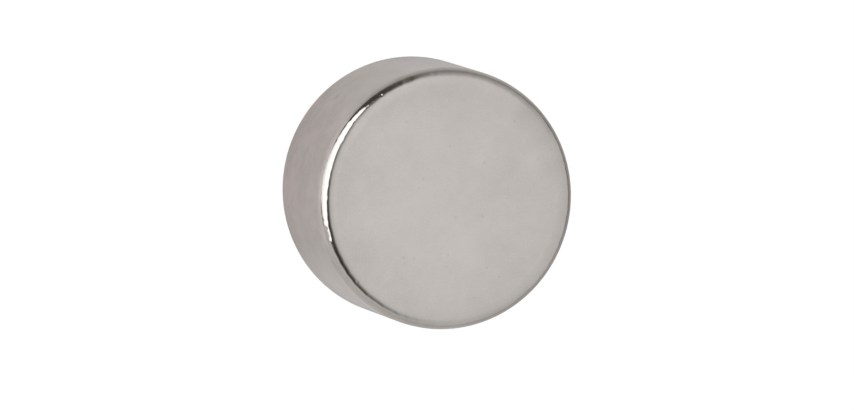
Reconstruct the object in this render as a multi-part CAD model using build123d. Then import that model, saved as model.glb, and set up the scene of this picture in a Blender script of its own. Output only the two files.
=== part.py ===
from build123d import *
from math import cos, radians, sin
import os

# A disc magnet: one disc of sintered magnet alloy, ground flat and round, barrel finished and nickel plated.
# It lies on its lower pole face. The origin is the middle of that face, and +Z runs along the disc's axis.

# Driving dimensions, in millimetres, and one angle in degrees
DISC_DIAMETER = 10.0
DISC_THICKNESS = 6.0
RIM_RADIUS = 0.45
SHOULDER_RADIUS = 2.0
SHOULDER_SWEEP = 9.0

disc_radius = DISC_DIAMETER / 2
half_thickness = DISC_THICKNESS / 2


def rim_corners():
    """Where the upper rim changes curve, as (distance from the axis, height above mid-thickness).

    Barrel finishing rolls the pole face off in two tangent arcs. A shallow shoulder leaves the flat face and
    turns by the shoulder's sweep, and the tight rim arc turns the rest of the way down to the wall.
    """
    sweep = radians(SHOULDER_SWEEP)
    rim_centre_out = disc_radius - RIM_RADIUS
    radius_step = SHOULDER_RADIUS - RIM_RADIUS
    rim_centre_up = half_thickness - SHOULDER_RADIUS + radius_step * cos(sweep)
    wall_top = (disc_radius, rim_centre_up)
    shoulder_end = (rim_centre_out + RIM_RADIUS * sin(sweep), rim_centre_up + RIM_RADIUS * cos(sweep))
    face_edge = (rim_centre_out - radius_step * sin(sweep), half_thickness)
    return wall_top, shoulder_end, face_edge


def disc_section():
    """Half of the disc's section, from the axis out to the wall, symmetric about mid-thickness."""
    wall_top, shoulder_end, face_edge = rim_corners()
    wall = Line((disc_radius, 0), wall_top)
    rim = TangentArc(wall_top, shoulder_end, tangent=wall % 1)
    shoulder = TangentArc(shoulder_end, face_edge, tangent=rim % 1)
    face = Line(face_edge, (0, half_thickness))
    upper_outline = Curve() + [wall, rim, shoulder, face]
    axis_line = Line((0, half_thickness), (0, -half_thickness))
    return make_face(upper_outline + mirror(upper_outline, Plane.XZ) + axis_line)


def magnet_disc():
    """The whole disc: its section turned about the axis and lifted onto its lower pole face."""
    return Pos(0, 0, half_thickness) * revolve(Plane.XZ * disc_section(), Axis.Z)


os.makedirs("parts", exist_ok=True)
export_step(magnet_disc(), "parts/magnet_disc.step")
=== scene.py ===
import math

import bpy
import numpy as np
from mathutils import Matrix, Vector


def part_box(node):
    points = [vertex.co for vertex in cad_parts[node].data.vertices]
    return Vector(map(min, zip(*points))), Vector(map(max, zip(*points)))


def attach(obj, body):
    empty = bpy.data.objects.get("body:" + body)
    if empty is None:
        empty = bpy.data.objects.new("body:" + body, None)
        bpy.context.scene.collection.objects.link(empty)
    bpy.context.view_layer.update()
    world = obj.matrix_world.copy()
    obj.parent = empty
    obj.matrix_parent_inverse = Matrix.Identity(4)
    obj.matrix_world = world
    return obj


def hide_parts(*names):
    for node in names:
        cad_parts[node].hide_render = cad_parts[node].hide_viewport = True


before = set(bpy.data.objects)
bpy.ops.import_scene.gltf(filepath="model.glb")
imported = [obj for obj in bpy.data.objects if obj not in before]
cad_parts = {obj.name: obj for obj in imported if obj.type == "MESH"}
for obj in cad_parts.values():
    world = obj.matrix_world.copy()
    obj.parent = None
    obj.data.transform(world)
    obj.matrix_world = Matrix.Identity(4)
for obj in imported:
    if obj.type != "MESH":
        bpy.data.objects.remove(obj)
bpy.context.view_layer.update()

# A nickel-plated disc magnet that lies on its lower pole face, seen from almost straight above.
# Lengths are in metres. MM turns the millimetres that a maker would write into metres.

MM = 0.001

# The disc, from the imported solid
DISC_LOW, DISC_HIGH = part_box("magnet_disc")
DISC_RADIUS = (DISC_HIGH.x - DISC_LOW.x) / 2
DISC_THICKNESS = DISC_HIGH.z - DISC_LOW.z
FACE_CENTRE = Vector((0.0, 0.0, DISC_HIGH.z))

# The rolled rim, as on the solid
RIM_RADIUS = 0.45 * MM
SHOULDER_RADIUS = 2.0 * MM
SHOULDER_SWEEP = math.radians(9.0)

# Rings of the surface along the section, and points in each ring
FACE_RINGS = 6
SHOULDER_RINGS = 10
RIM_RINGS = 28
HALF_WALL_RINGS = 4
POINTS_AROUND = 960

# Wear of the rims: uneven rolling as (places round the disc, depth), and nicks as (place round, turn, width,
# depth)
WEAR_SEED = 7
ROLLING = [(52, 0.012 * MM), (190, 0.011 * MM)]
NICKS = [
    (math.radians(123.6), math.radians(31), 0.10 * MM, 0.010 * MM),
    (math.radians(221.6), math.radians(14), 0.10 * MM, 0.016 * MM),
]

# Noise in the plating as (spots to a millimetre, detail), and random pits: points to a millimetre, and the
# shares of their spacing over which a pit fades
CLOUD_NOISE = (0.55, 2.0)
MOTTLE_NOISE = (2.6, 4.0)
GRAIN_NOISE = (15.0, 2.0)
NOISE_ROUGHNESS = 0.55
PIT_SCATTER = 1.4
PIT_REACH = (0.03, 0.10)

# The metal's roughness, which follows the mottle and rises in the pits, and the depth of pits and grain
MOTTLE_RANGE = (0.3, 0.7)
METAL_ROUGHNESS = (0.10, 0.14)
PIT_ROUGHNESS = 0.15
GRAIN_RELIEF = 0.12
RELIEF_DEPTH = 0.0015 * MM

# Nickel from its dullest to its brightest tone, and how far each texture moves the tone. A duller ring grows
# between two distances from the axis, in mm.
DULL_NICKEL = (0.522, 0.490, 0.465, 1.0)
BRIGHT_NICKEL = (0.723, 0.682, 0.650, 1.0)
PLATING_TONE = 0.64
CLOUD_SHARE = 0.43
MOTTLE_SHARE = 0.29
GRAIN_SHARE = 0.40
WALL_GAIN = 2.2
PIT_SHARE = -0.20
DULL_EDGE_RING_SHARE = -0.14
DULL_EDGE_RING_REACH = (3.3, 4.4)

# Marks on the plating as (place on the disc in mm, radius in mm, share of the tone): soft clouds, then pits
MARKS = [
    ((0.2, 4.0, 6.0), 1.6, -0.08),
    ((2.4, 0.8, 6.0), 1.8, -0.12),
    ((2.3, -2.4, 6.0), 1.5, -0.10),
    ((-3.3, -2.1, 6.0), 1.5, -0.08),
    ((0.3, -1.6, 6.0), 1.7, 0.09),
    ((-1.8, -0.6, 6.0), 1.9, 0.07),
    ((-2.8, 2.6, 6.0), 1.3, 0.05),
    ((4.2, 1.3, 6.0), 0.8, -0.16),
    ((3.8, 2.3, 6.0), 0.9, -0.20),
    ((3.1, 3.2, 6.0), 0.9, -0.26),
    ((3.2, 1.3, 6.0), 0.8, 0.09),
    ((0.4, 2.8, 6.0), 1.0, -0.10),
    ((-1.7, 2.9, 6.0), 0.9, 0.12),
    ((-0.9, 0.2, 6.0), 1.1, 0.10),
    ((-1.3, -2.1, 6.0), 1.0, 0.13),
    ((1.7, -2.0, 6.0), 1.1, -0.10),
    ((-1.64, 2.97, 6.0), 0.09, -0.30),
    ((0.07, 2.03, 6.0), 0.08, -0.25),
    ((1.42, 1.71, 6.0), 0.09, -0.20),
    ((3.56, 1.49, 6.0), 0.07, -0.25),
    ((-1.13, 0.44, 6.0), 0.08, -0.20),
    ((0.34, -0.69, 6.0), 0.07, -0.25),
    ((0.05, -2.14, 6.0), 0.08, -0.25),
    ((-1.69, -2.19, 6.0), 0.08, -0.30),
    ((1.59, -2.62, 6.0), 0.09, -0.30),
    ((-1.76, -3.00, 6.0), 0.07, -0.25),
    ((-3.45, 3.62, 2.4), 0.24, -0.70),
    ((-1.77, 4.67, 1.4), 0.22, -0.60),
]

# The turn of everything about the disc's axis: camera, lamp, room, sheet, wear and marks. All the azimuths
# and places in this script are from before the turn. With it, the top face doesn't mirror the lamp when it is
# seen from low down at the four square-on sides.
STAGE_TURN = math.radians(60)

# The camera: how far the disc's axis leans from the line of sight, and which way it leans in the picture
PICTURE_SIZE = (854, 410)
AXIS_TILT = math.radians(16.3)
AXIS_LEAN = math.radians(18.9)
CAMERA_DISTANCE = 500 * MM
FACE_CENTRE_PX = (446.9, 198.9)
DISC_RADIUS_PX = 131.7
SENSOR_WIDTH = 36.0

# The sheet: its colour by direction from the disc, from straight away from the lamp, in painted shade, to
# straight towards it, a gain of painted light at its front that fades with distance, and a loss of painted
# shade at its back that grows with distance. To the camera it has a large share of white. To the metal it has
# a small share all over, and more in a fan towards the lamp, by distance from the disc's axis: a painted
# pool of lamp light.
SHEET_SIZE = 4.0
TO_LAMP_AZIMUTH = math.radians(170)
PAPER_AND_PAINTED_SHADE_STOPS = [
    (0.05, (0.65, 0.632, 0.622)), (0.30, (0.813, 0.790, 0.778)), (0.875, (0.813, 0.790, 0.778)),
    (0.975, (0.81, 0.764, 0.762)),
]
TO_BACK_AZIMUTH = math.radians(60)
FRONT_PAINTED_LIGHT = 0.10
FRONT_PAINTED_LIGHT_REACH = (0.0, 0.08)
FRONT_PAINTED_LIGHT_DISTANCES = (6.5 * MM, 9 * MM)
BACK_PAINTED_SHADE = 0.40
BACK_PAINTED_SHADE_REACH = (0.5, 0.7)
BACK_PAINTED_SHADE_DISTANCES = (10 * MM, 38 * MM)
SHEET_WHITE = 1.10
CAMERA_WHITE_SHARE = 0.88
METAL_WHITE_SHARE = 0.03
PAINTED_POOL_FAN_STOPS = [(0.695, 0.0), (0.8075, 0.06), (0.90, 0.28), (0.9625, 0.58), (0.9925, 1.0)]
PAINTED_POOL_REACH = 60 * MM
PAINTED_POOL_GLOW_STOPS = [
    (0.092, 0.0), (0.108, 0.03), (0.133, 0.11), (0.175, 0.21), (0.25, 0.29), (0.317, 0.34), (0.467, 0.34),
    (0.75, 0.32), (1.0, 0.30),
]

# The room's levels by height, from the horizon up to the ceiling, at the near right and at the far wall, and
# its dimmer front
TO_FRONT = Vector((0.0, -1.0, 0.0))
NEAR_STOPS = [(0.0, 0.64), (0.5, 0.705), (0.8, 0.715), (0.9, 0.75), (0.97, 0.805), (1.0, 0.86)]
FAR_STOPS = [(0.0, 0.29), (0.1, 0.33), (0.5, 0.53), (0.86, 0.88), (0.97, 1.0)]
FAR_TOWARDS = Vector((0.0, 1.0, 0.4)).normalized()
FAR_REACH = (0.2, 1.0)
FRONT_DIM = 0.92
FRONT_DIM_REACH = (0.35, 0.75)

# The dark left half, past a bent edge, with a pale card at its front, and a dark corner at the far left with
# its levels by height
DARK_LEVEL = 0.06
DARK_COLOUR = (1.0, 0.86, 0.75, 1.0)
DARK_COLOUR_LEVELS = (0.05, 0.40)
BRIGHT_HALF_EDGES = [Vector((1.0, 0.0, 0.25)).normalized(), Vector((1.0, 0.42, 0.25)).normalized()]
BRIGHT_HALF_REACH = (-0.27, 0.40)
DARK_CORNER_AZIMUTH = math.radians(122)
DARK_CORNER_POLAR = math.radians(74)
DARK_CORNER_REACH = (0.69, 0.98)
DARK_CORNER_STOPS = [(0.0, 0.22), (0.1, 0.17), (0.24, 0.12), (0.38, 0.085), (0.5, 0.06)]
FRONT_CARD_LEVELS = (0.66, 0.50)
FRONT_CARD_ACROSS = (-0.7, 0.0)
FRONT_CARD_FRONT = (0.16, 0.46)
FRONT_CARD_TOP = (0.40, 0.60)

# The large soft lamp on the left, a flat panel that dims towards its foot, with its corners as shares of its
# distance, along and up
LAMP_AZIMUTH = math.radians(167)
LAMP_POLAR = math.radians(57)
LAMP_DISTANCE = 180 * MM
LAMP_RADIANCES = (1.39, 1.82)
LAMP_HEIGHTS = (52 * MM, 80 * MM)
LAMP_CORNERS = [
    (0.0, 0.525), (-0.20, 0.43), (-0.33, 0.37), (-0.45, 0.37), (-0.58, 0.31), (-0.78, 0.27),
    (-0.74, 0.07), (-0.73, -0.16), (-0.64, -0.31), (-0.43, -0.46), (-0.20, -0.59), (0.0, -0.66),
    (0.22, -0.64), (0.44, -0.55), (0.57, -0.40), (0.62, -0.19), (0.65, 0.05), (0.66, 0.30),
    (0.45, 0.28), (0.30, 0.345),
]


def add_node(tree, kind, inputs=None, **settings):
    """A node with its settings and its unlinked inputs filled in."""
    made = tree.nodes.new(kind)
    for name, value in settings.items():
        setattr(made, name, value)
    for name, value in (inputs or {}).items():
        made.inputs[name].default_value = value
    return made


def work_out(tree, operation, *operands):
    """A Math node's result. Each operand is a number or another node's output."""
    made = add_node(tree, "ShaderNodeMath", operation=operation)
    for socket, operand in zip(made.inputs, operands):
        if isinstance(operand, (int, float)):
            socket.default_value = operand
        else:
            tree.links.new(operand, socket)
    return made.outputs["Value"]


def rescale(tree, value, before, after, curve="LINEAR"):
    """A Map Range node's result: the value carried from one pair of limits to another, and held there."""
    made = add_node(tree, "ShaderNodeMapRange", interpolation_type=curve)
    made.inputs["From Min"].default_value, made.inputs["From Max"].default_value = before
    made.inputs["To Min"].default_value, made.inputs["To Max"].default_value = after
    tree.links.new(value, made.inputs["Value"])
    return made.outputs["Result"]


def grade(tree, value, stops):
    """A ramp's colour along a value from 0 to 1, by its stops (value, colour). A number is a grey."""
    made = add_node(tree, "ShaderNodeValToRGB")
    elements = made.color_ramp.elements
    while len(elements) < len(stops):
        elements.new(0.5)
    for element, (position, colour) in zip(elements, stops):
        element.position = position
        element.color = (*np.broadcast_to(colour, 3), 1.0)
    tree.links.new(value, made.inputs["Fac"])
    return made.outputs["Color"]


def blend_colours(tree, share, first, last):
    """A colour that goes from the first to the last with the share."""
    made = add_node(tree, "ShaderNodeMix", {"A": first, "B": last}, data_type="RGBA")
    tree.links.new(share, made.inputs["Factor"])
    return made.outputs["Result"]


def mirrored(upper, flip):
    """An array along the upper half of the section, and on along the lower half, its mirror image."""
    lower = upper[::-1] * (-1 if flip else 1)
    return np.concatenate([upper, lower])


def disc_section():
    """The disc's section from the middle of the upper face round to the middle of the lower face.

    The upper half is the flat face, then the shoulder's arc, which turns from straight up by the shoulder's
    sweep, then the rim's arc, which turns on to the wall, then half of the wall. The arcs are tangent, so the
    shoulder's centre lies on the line through the rim's centre and their joint. Returns each ring's distance
    from the axis, its height above mid-thickness and its turn, the angle between its normal and the axis.
    """
    half = DISC_THICKNESS / 2
    step = SHOULDER_RADIUS - RIM_RADIUS
    rim_out = DISC_RADIUS - RIM_RADIUS
    rim_up = half - SHOULDER_RADIUS + step * math.cos(SHOULDER_SWEEP)
    shoulder_out = rim_out - step * math.sin(SHOULDER_SWEEP)
    shoulder_up = half - SHOULDER_RADIUS

    face_out = shoulder_out * np.linspace(0, 1, FACE_RINGS, endpoint=False)[1:]
    shoulder_turn = np.linspace(0, SHOULDER_SWEEP, SHOULDER_RINGS, endpoint=False)
    rim_turn = np.linspace(SHOULDER_SWEEP, math.pi / 2, RIM_RINGS, endpoint=False)
    wall_up = np.linspace(rim_up, 0, HALF_WALL_RINGS, endpoint=False)

    out = np.concatenate([
        face_out,
        shoulder_out + SHOULDER_RADIUS * np.sin(shoulder_turn),
        rim_out + RIM_RADIUS * np.sin(rim_turn),
        np.full_like(wall_up, DISC_RADIUS),
    ])
    height = np.concatenate([
        np.full_like(face_out, half),
        shoulder_up + SHOULDER_RADIUS * np.cos(shoulder_turn),
        rim_up + RIM_RADIUS * np.cos(rim_turn),
        wall_up,
    ])
    turn = np.concatenate([
        np.zeros_like(face_out),
        shoulder_turn,
        rim_turn,
        np.full_like(wall_up, math.pi / 2),
    ])
    lower_turn = math.pi - turn[::-1]
    return mirrored(out, False), mirrored(height, True), np.concatenate([turn, lower_turn])


def rim_wear(turn, around):
    """How far the surface lies under its true form, in metres, by ring turn and place round the disc.

    Uneven rolling is a line drawn between random depths at even places round the disc, one line for each rim,
    faded in and out over the rim with the squared sine of twice the turn. A nick is a bell-shaped dent,
    measured along the rim and across it, and faded with that sine.
    """
    random = np.random.default_rng(WEAR_SEED)
    fade = np.sin(2 * turn) ** 2
    wear = np.zeros_like(turn)
    for count, depth in ROLLING:
        places = np.linspace(0, math.tau, count, endpoint=False)
        upper = np.interp(around, places, random.random(count), period=math.tau)
        lower = np.interp(around, places, random.random(count), period=math.tau)
        wear = wear + depth * fade * np.where(turn < math.pi / 2, upper, lower)
    for place, nick_turn, width, depth in NICKS:
        along = DISC_RADIUS * (around - place)
        across = RIM_RADIUS * (turn - nick_turn)
        wear = wear + depth * np.exp(-(along**2 + across**2) / (width / 2) ** 2) * np.sqrt(fade)
    return wear


def make_disc():
    """The disc's surface: its section carried round the axis, less the wear, and a point at each pole."""
    out, height, turn = disc_section()
    around = np.linspace(0, math.tau, POINTS_AROUND, endpoint=False)
    turn_grid, around_grid = np.meshgrid(turn, around, indexing="ij")
    wear = rim_wear(turn_grid, around_grid)
    out_grid = out[:, None] - wear * np.sin(turn_grid)
    height_grid = height[:, None] - wear * np.cos(turn_grid)
    middle = (DISC_HIGH.z + DISC_LOW.z) / 2
    rings = np.stack([
        out_grid * np.cos(around_grid + STAGE_TURN),
        out_grid * np.sin(around_grid + STAGE_TURN),
        height_grid + middle,
    ], axis=-1).reshape(-1, 3)
    points = np.concatenate([rings, [[0, 0, DISC_HIGH.z], [0, 0, DISC_LOW.z]]])

    index = np.arange(len(rings)).reshape(len(out), POINTS_AROUND)
    onward = np.roll(index, -1, axis=1)
    quads = np.stack([index[:-1], index[1:], onward[1:], onward[:-1]], axis=-1).reshape(-1, 4)
    top_pole = np.full(POINTS_AROUND, len(rings))
    top_fan = np.stack([top_pole, index[0], onward[0]], axis=-1)
    bottom_fan = np.stack([top_pole + 1, onward[-1], index[-1]], axis=-1)

    mesh = bpy.data.meshes.new("magnet_disc_surface")
    mesh.from_pydata(points.tolist(), [], quads.tolist() + top_fan.tolist() + bottom_fan.tolist())
    mesh.shade_smooth()
    disc = bpy.data.objects.new("plated_disc", mesh)
    bpy.context.scene.collection.objects.link(disc)
    return disc


def noise(tree, place, scale, detail):
    """Cloudy noise about 0.5, in spots of about one over the scale, in millimetres."""
    settings = {"Scale": scale, "Detail": detail, "Roughness": NOISE_ROUGHNESS}
    made = add_node(tree, "ShaderNodeTexNoise", settings)
    tree.links.new(place, made.inputs["Vector"])
    return made.outputs["Fac"]


def nickel_plating():
    """Bright barrel-finished nickel: warm grey with soft clouds, a mottle, a fine grain, pits and marks.

    The tone runs from dull to bright nickel. It is a sum of shares: three sizes of noise about their middle,
    stronger on the wall than on the faces, less the pits and a duller ring near the rim, plus each mark's
    share, which fades from its centre to its radius. A pit is where the surface passes close to a point of a
    random scatter. Pits and grain also bump the surface.
    """
    material = bpy.data.materials.new("nickel_plating")
    material.use_nodes = True
    tree = material.node_tree
    link = tree.links.new
    shader = tree.nodes["Principled BSDF"]
    shader.inputs["Metallic"].default_value = 1.0

    on_disc = add_node(tree, "ShaderNodeTexCoord")
    in_mm = add_node(
        tree, "ShaderNodeMapping", {"Scale": (1 / MM, 1 / MM, 1 / MM), "Rotation": (0.0, 0.0, -STAGE_TURN)})
    link(on_disc.outputs["Object"], in_mm.inputs["Vector"])
    place = in_mm.outputs["Vector"]
    cloud = noise(tree, place, *CLOUD_NOISE)
    mottle = noise(tree, place, *MOTTLE_NOISE)
    grain = noise(tree, place, *GRAIN_NOISE)
    scatter = add_node(tree, "ShaderNodeTexVoronoi", {"Scale": PIT_SCATTER})
    link(place, scatter.inputs["Vector"])
    pits = rescale(tree, scatter.outputs["Distance"], PIT_REACH, (1.0, 0.0), "SMOOTHSTEP")

    uneven = -(CLOUD_SHARE + MOTTLE_SHARE + GRAIN_SHARE) / 2
    for texture, share in ((cloud, CLOUD_SHARE), (mottle, MOTTLE_SHARE), (grain, GRAIN_SHARE)):
        uneven = work_out(tree, "MULTIPLY_ADD", texture, share, uneven)
    facing = add_node(tree, "ShaderNodeSeparateXYZ")
    link(on_disc.outputs["Normal"], facing.inputs["Vector"])
    upright = work_out(tree, "ABSOLUTE", facing.outputs["Z"])
    gain = rescale(tree, upright, (0.0, 1.0), (1 + WALL_GAIN, 1.0))
    tone = work_out(tree, "MULTIPLY_ADD", uneven, gain, PLATING_TONE)
    tone = work_out(tree, "MULTIPLY_ADD", pits, PIT_SHARE, tone)

    flat = add_node(tree, "ShaderNodeVectorMath", {1: (1.0, 1.0, 0.0)}, operation="MULTIPLY")
    link(place, flat.inputs[0])
    from_axis = add_node(tree, "ShaderNodeVectorMath", operation="LENGTH")
    link(flat.outputs["Vector"], from_axis.inputs[0])
    ring = rescale(tree, from_axis.outputs["Value"], DULL_EDGE_RING_REACH, (0.0, DULL_EDGE_RING_SHARE), "SMOOTHSTEP")
    tone = work_out(tree, "MULTIPLY_ADD", ring, upright, tone)
    for centre, radius, share in MARKS:
        apart = add_node(tree, "ShaderNodeVectorMath", {1: centre}, operation="DISTANCE")
        link(place, apart.inputs[0])
        mark = rescale(tree, apart.outputs["Value"], (0.0, radius), (share, 0.0), "SMOOTHSTEP")
        tone = work_out(tree, "ADD", tone, mark)
    link(blend_colours(tree, tone, DULL_NICKEL, BRIGHT_NICKEL), shader.inputs["Base Color"])

    rough = rescale(tree, mottle, MOTTLE_RANGE, METAL_ROUGHNESS)
    link(work_out(tree, "MULTIPLY_ADD", pits, PIT_ROUGHNESS, rough), shader.inputs["Roughness"])

    relief = work_out(tree, "MULTIPLY_ADD", grain, GRAIN_RELIEF, work_out(tree, "MULTIPLY", pits, -1.0))
    bump = add_node(tree, "ShaderNodeBump", {"Strength": 1.0, "Distance": RELIEF_DEPTH})
    link(relief, bump.inputs["Height"])
    link(bump.outputs["Normal"], shader.inputs["Normal"])
    return material


def seen_directly(tree):
    """1 for rays from the camera, straight or through something clear, and 0 for all others."""
    path = add_node(tree, "ShaderNodeLightPath")
    return work_out(tree, "MAXIMUM", path.outputs["Is Camera Ray"], path.outputs["Is Transmission Ray"])


def heading(tree, outward, azimuth):
    """0 to 1 as a level direction swings from straight away from an azimuth to straight along it."""
    level_line = direction(azimuth, math.pi / 2)
    along = add_node(tree, "ShaderNodeVectorMath", {1: level_line}, operation="DOT_PRODUCT")
    tree.links.new(outward, along.inputs[0])
    return rescale(tree, along.outputs["Value"], (-1.0, 1.0), (0.0, 1.0))


def sheet_paper():
    """The pale sheet, lit by the room and the lamp, with a share of plain white.

    The paper's colour goes by direction from the disc, in painted shade straight away from the lamp, times a
    gain, which is one, but more close to the disc at the front, a painted light, and less far off at the
    back, a painted shade. To the camera the white leaves only a faint shadow. To the metal it is a small
    share, plus a painted pool of lamp light: the product of the fan's level by direction and the glow's
    level by distance.
    """
    material = bpy.data.materials.new("pale_sheet")
    material.use_nodes = True
    tree = material.node_tree
    link = tree.links.new
    tree.nodes.remove(tree.nodes["Principled BSDF"])
    paper = add_node(tree, "ShaderNodeBsdfDiffuse")
    white = add_node(tree, "ShaderNodeEmission", {"Strength": SHEET_WHITE})

    place = add_node(tree, "ShaderNodeTexCoord").outputs["Object"]
    from_axis = add_node(tree, "ShaderNodeVectorMath", operation="LENGTH")
    link(place, from_axis.inputs[0])
    outward = add_node(tree, "ShaderNodeVectorMath", operation="NORMALIZE")
    link(place, outward.inputs[0])
    to_lamp = heading(tree, outward.outputs["Vector"], TO_LAMP_AZIMUTH)
    to_back = heading(tree, outward.outputs["Vector"], TO_BACK_AZIMUTH)
    # Painted light close to the disc at the front of the sheet, and painted shade far off at its back, as a
    # gain on the paper's colour
    front = rescale(tree, to_back, FRONT_PAINTED_LIGHT_REACH, (FRONT_PAINTED_LIGHT, 0.0))
    close = rescale(tree, from_axis.outputs["Value"], FRONT_PAINTED_LIGHT_DISTANCES, (1.0, 0.0))
    back_painted_shade = rescale(tree, to_back, BACK_PAINTED_SHADE_REACH, (0.0, -BACK_PAINTED_SHADE), "SMOOTHSTEP")
    far_off = rescale(tree, from_axis.outputs["Value"], BACK_PAINTED_SHADE_DISTANCES, (0.0, 1.0))
    gain = work_out(tree, "MULTIPLY_ADD", back_painted_shade, far_off, work_out(tree, "MULTIPLY_ADD", front, close, 1.0))
    # The paper's colour by direction, in painted shade straight away from the lamp, times that gain
    colour = add_node(tree, "ShaderNodeVectorMath", operation="SCALE")
    link(grade(tree, to_lamp, PAPER_AND_PAINTED_SHADE_STOPS), colour.inputs["Vector"])
    link(gain, colour.inputs["Scale"])
    link(colour.outputs["Vector"], paper.inputs["Color"])
    # A painted pool of lamp light, which only the metal sees: the fan by direction times the glow by distance
    painted_pool_fan = grade(tree, to_lamp, PAINTED_POOL_FAN_STOPS)
    glow = grade(tree, work_out(tree, "DIVIDE", from_axis.outputs["Value"], PAINTED_POOL_REACH), PAINTED_POOL_GLOW_STOPS)

    share = work_out(tree, "MULTIPLY_ADD", painted_pool_fan, glow, METAL_WHITE_SHARE)
    to_metal = add_node(tree, "ShaderNodeLightPath").outputs["Is Glossy Ray"]
    white_and_painted_pool_to_metal = work_out(tree, "MULTIPLY", to_metal, share)
    white_to_camera = work_out(tree, "MULTIPLY", seen_directly(tree), CAMERA_WHITE_SHARE)
    sheet = add_node(tree, "ShaderNodeMixShader")
    link(work_out(tree, "MAXIMUM", white_and_painted_pool_to_metal, white_to_camera), sheet.inputs["Fac"])
    link(paper.outputs["BSDF"], sheet.inputs[1])
    link(white.outputs["Emission"], sheet.inputs[2])
    link(sheet.outputs["Shader"], tree.nodes["Material Output"].inputs["Surface"])
    return material


def make_sheet():
    """A flat square under the disc."""
    reach = SHEET_SIZE / 2
    level = DISC_LOW.z
    corners = [(-reach, -reach, level), (reach, -reach, level), (reach, reach, level), (-reach, reach, level)]
    mesh = bpy.data.meshes.new("sheet")
    mesh.from_pydata(corners, [], [(0, 1, 2, 3)])
    mesh.materials.append(sheet_paper())
    sheet = bpy.data.objects.new("sheet", mesh)
    sheet.rotation_euler.z = STAGE_TURN
    bpy.context.scene.collection.objects.link(sheet)


def direction(azimuth, polar):
    """The unit vector at an azimuth from +X and an angle from straight up."""
    return Vector((
        math.sin(polar) * math.cos(azimuth),
        math.sin(polar) * math.sin(azimuth),
        math.cos(polar),
    ))


def side_mask(tree, look, towards, reach):
    """0 to 1 as the look direction's share along a given direction passes through its reach."""
    along = add_node(tree, "ShaderNodeVectorMath", {1: towards}, operation="DOT_PRODUCT")
    tree.links.new(look, along.inputs[0])
    return rescale(tree, along.outputs["Value"], reach, (0.0, 1.0), "SMOOTHSTEP")


def mix_levels(tree, mask, low, high):
    """A value that goes from low to high with the mask. Each is a number or another node's output."""
    rise = work_out(tree, "SUBTRACT", high, low)
    return work_out(tree, "MULTIPLY_ADD", mask, rise, low)


def light_room():
    """The room that the metal mirrors, white to the camera.

    The right half goes by height, from the near levels to the far ones, is a little dimmer at the front, and
    darkens into the far left corner. The left half is a warm dark but for a pale card at the front.
    """
    world = bpy.data.worlds.new("studio")
    bpy.context.scene.world = world
    world.use_nodes = True
    tree = world.node_tree
    link = tree.links.new
    turned = add_node(tree, "ShaderNodeVectorRotate", {"Angle": -STAGE_TURN}, rotation_type="Z_AXIS")
    link(add_node(tree, "ShaderNodeTexCoord").outputs["Generated"], turned.inputs["Vector"])
    look = turned.outputs["Vector"]
    split = add_node(tree, "ShaderNodeSeparateXYZ")
    link(look, split.inputs["Vector"])
    height = split.outputs["Z"]

    far = side_mask(tree, look, FAR_TOWARDS, FAR_REACH)
    right_half = mix_levels(tree, far, grade(tree, height, NEAR_STOPS), grade(tree, height, FAR_STOPS))
    front = side_mask(tree, look, TO_FRONT, FRONT_DIM_REACH)
    right_half = work_out(tree, "MULTIPLY", right_half, rescale(tree, front, (0.0, 1.0), (1.0, FRONT_DIM)))
    corner = side_mask(tree, look, direction(DARK_CORNER_AZIMUTH, DARK_CORNER_POLAR), DARK_CORNER_REACH)
    right_half = mix_levels(tree, corner, right_half, grade(tree, height, DARK_CORNER_STOPS))

    in_front = side_mask(tree, look, TO_FRONT, FRONT_CARD_FRONT)
    low = rescale(tree, height, FRONT_CARD_TOP, (1.0, 0.0), "SMOOTHSTEP")
    front_card = work_out(tree, "MULTIPLY", in_front, low)
    card_level = rescale(tree, split.outputs["X"], FRONT_CARD_ACROSS, FRONT_CARD_LEVELS)
    left_half = mix_levels(tree, front_card, DARK_LEVEL, card_level)

    past_edges = [side_mask(tree, look, edge, BRIGHT_HALF_REACH) for edge in BRIGHT_HALF_EDGES]
    on_right = work_out(tree, "MAXIMUM", *past_edges)
    room = mix_levels(tree, on_right, left_half, right_half)
    level = mix_levels(tree, seen_directly(tree), room, 1.0)
    pale = rescale(tree, level, DARK_COLOUR_LEVELS, (0.0, 1.0))
    background = tree.nodes["Background"]
    link(blend_colours(tree, pale, DARK_COLOUR, (1.0, 1.0, 1.0, 1.0)), background.inputs["Color"])
    link(level, background.inputs["Strength"])


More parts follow.
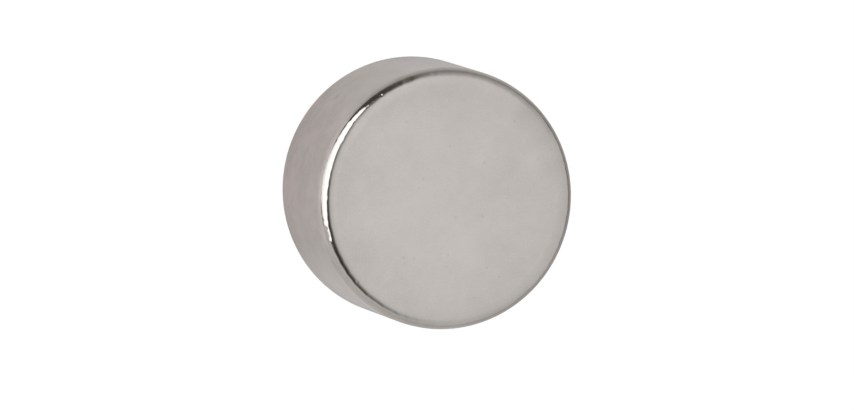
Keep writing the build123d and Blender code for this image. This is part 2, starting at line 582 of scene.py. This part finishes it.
def hang_lamp():
    """The large soft lamp on the left, a glowing panel that faces the disc and dims towards its foot.

    The rim shows it as a white strip.
    """
    glow = bpy.data.materials.new("lamp_glow")
    glow.use_nodes = True
    tree = glow.node_tree
    tree.nodes.remove(tree.nodes["Principled BSDF"])
    panel = add_node(tree, "ShaderNodeEmission")
    height = add_node(tree, "ShaderNodeSeparateXYZ")
    tree.links.new(add_node(tree, "ShaderNodeTexCoord").outputs["Object"], height.inputs["Vector"])
    level = rescale(tree, height.outputs["Z"], LAMP_HEIGHTS, LAMP_RADIANCES, "SMOOTHSTEP")
    tree.links.new(level, panel.inputs["Strength"])
    tree.links.new(panel.outputs["Emission"], tree.nodes["Material Output"].inputs["Surface"])

    outward = direction(LAMP_AZIMUTH, LAMP_POLAR)
    along = Vector((0, 0, 1)).cross(outward).normalized()
    rise = outward.cross(along)
    corners = [FACE_CENTRE + LAMP_DISTANCE * (outward + x * along + y * rise) for x, y in LAMP_CORNERS]
    mesh = bpy.data.meshes.new("lamp_panel")
    mesh.from_pydata(corners, [], [range(len(corners))])
    mesh.materials.append(glow)
    lamp = bpy.data.objects.new("lamp_panel", mesh)
    bpy.context.scene.collection.objects.link(lamp)
    lamp.rotation_euler.z = STAGE_TURN
    lamp.visible_camera = False


def aim_camera():
    """A long lens almost over the disc, turned so that the disc's wall shows at the picture's left."""
    axis = Vector((0, 0, 1))
    towards = direction(math.pi - AXIS_LEAN, AXIS_TILT)
    lean = (axis - axis.dot(towards) * towards).normalized()
    right = math.cos(AXIS_LEAN) * lean + math.sin(AXIS_LEAN) * towards.cross(lean)
    up = towards.cross(right)
    px = DISC_RADIUS / DISC_RADIUS_PX
    aside = (PICTURE_SIZE[0] - 1) / 2 - FACE_CENTRE_PX[0]
    below = FACE_CENTRE_PX[1] - (PICTURE_SIZE[1] - 1) / 2

    lens = bpy.data.cameras.new("camera")
    lens.sensor_width = SENSOR_WIDTH
    lens.lens = SENSOR_WIDTH * CAMERA_DISTANCE / (px * PICTURE_SIZE[0])
    lens.clip_start = CAMERA_DISTANCE / 10
    lens.clip_end = SHEET_SIZE
    camera = bpy.data.objects.new("camera", lens)
    bpy.context.scene.collection.objects.link(camera)
    place = FACE_CENTRE + CAMERA_DISTANCE * towards + px * (aside * right + below * up)
    aim = Matrix.Translation(place) @ Matrix((right, up, towards)).transposed().to_4x4()
    camera.matrix_world = Matrix.Rotation(STAGE_TURN, 4, "Z") @ aim
    bpy.context.scene.camera = camera


plated_disc = make_disc()
plated_disc.data.materials.append(nickel_plating())
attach(plated_disc, "root")
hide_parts("magnet_disc")

make_sheet()
light_room()
hang_lamp()
aim_camera()
bpy.context.scene.view_settings.view_transform = "Standard"
